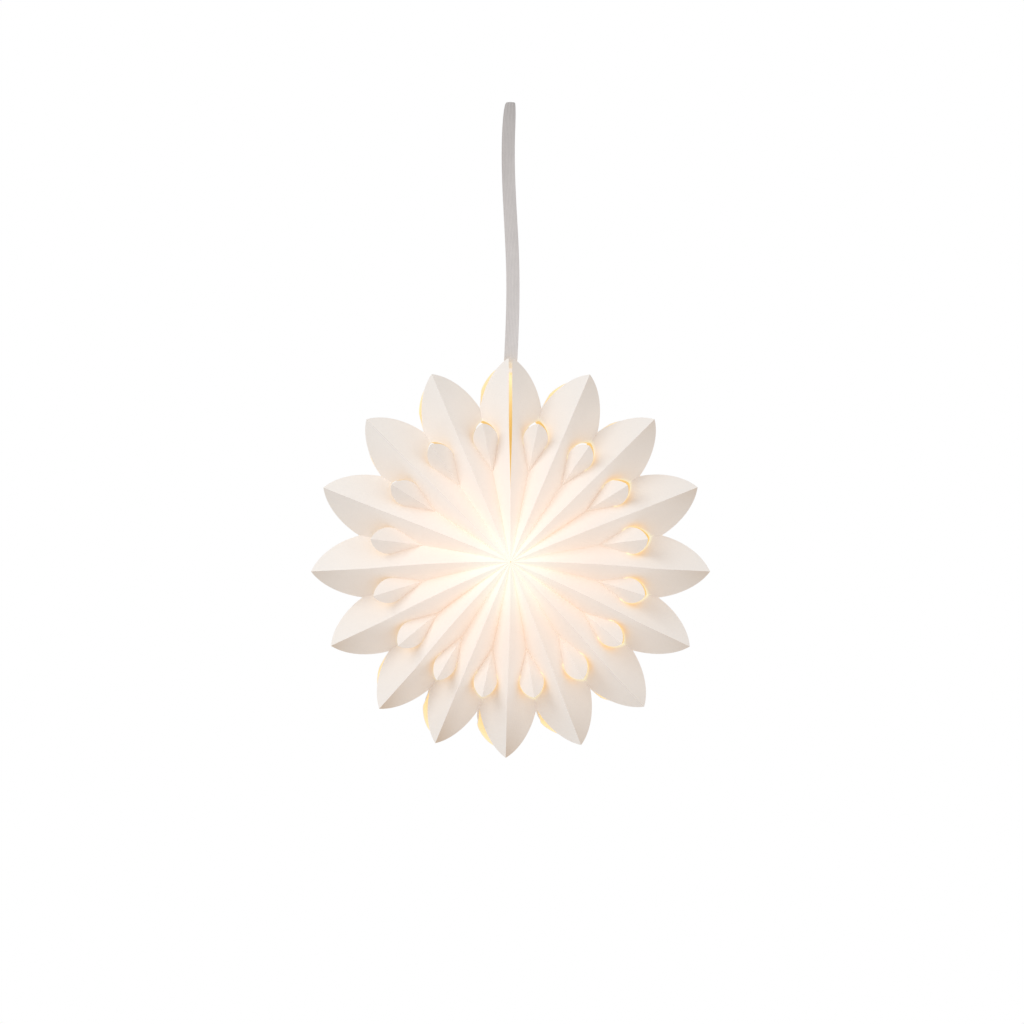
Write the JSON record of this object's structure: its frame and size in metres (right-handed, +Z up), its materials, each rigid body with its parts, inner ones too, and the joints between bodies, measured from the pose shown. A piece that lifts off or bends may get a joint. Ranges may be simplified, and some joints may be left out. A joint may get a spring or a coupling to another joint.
{
  "type": "led paper star",
  "caption": "Folded paper star with ogive petals and pop-out tongues, hung by a ribbon loop and lit from inside by a small battery light.",
  "frame": {"origin": "top of the ribbon loop, where it hangs on its hook", "axes": "+Z up along the ribbon, -Y out of the star's front, +X to the right seen from the front"},
  "size_m": [0.3, 0.079, 0.501],
  "materials": {
    "star_paper": "matt",
    "woven_ribbon": "woven",
    "frosted_case": "frosted",
    "cover_plastic": "satin",
    "cradle_plastic": "satin",
    "cell_jacket": "satin",
    "contact_metal": "brushed",
    "circuit_board": "satin",
    "strip_film": "satin",
    "led_light": "glossy",
    "switch_housing": "satin",
    "slider_plastic": "satin"
  },
  "bodies": {
    "star": {"front_fold_01": "star_paper", "front_fold_02": "star_paper", "front_fold_03": "star_paper", "front_fold_04": "star_paper", "front_fold_05": "star_paper", "front_fold_06": "star_paper", "front_fold_07": "star_paper", "front_fold_08": "star_paper", "front_fold_09": "star_paper", "front_fold_10": "star_paper", "front_fold_11": "star_paper", "front_fold_12": "star_paper", "front_fold_13": "star_paper", "front_fold_14": "star_paper", "front_fold_15": "star_paper", "front_fold_16": "star_paper", "back_fold_01": "star_paper", "back_fold_02": "star_paper", "back_fold_03": "star_paper", "back_fold_04": "star_paper", "back_fold_05": "star_paper", "back_fold_06": "star_paper", "back_fold_07": "star_paper", "back_fold_08": "star_paper", "back_fold_09": "star_paper", "back_fold_10": "star_paper", "back_fold_11": "star_paper", "back_fold_12": "star_paper", "back_fold_13": "star_paper", "back_fold_14": "star_paper", "back_fold_15": "star_paper", "back_fold_16": "star_paper", "ribbon_loop": "woven_ribbon", "light_case": "frosted_case", "battery_cover": "cover_plastic", "cell_cradle": "cradle_plastic", "battery_1": "cell_jacket", "battery_2": "cell_jacket", "battery_3": "cell_jacket", "front_contact_single": "contact_metal", "front_contact_pair": "contact_metal", "rear_contact_single": "contact_metal", "rear_contact_pair": "contact_metal", "driver_board": "circuit_board", "led_strip": "strip_film", "leds": "led_light", "switch_body": "switch_housing"},
    "slider": {"switch_slider": "slider_plastic"}
  },
  "joints": [
    {"name": "switch_slide", "type": "slide", "parent": "star", "child": "slider", "axis": [0, -1, 0], "range_m": [0, 0.002]}
  ]
}
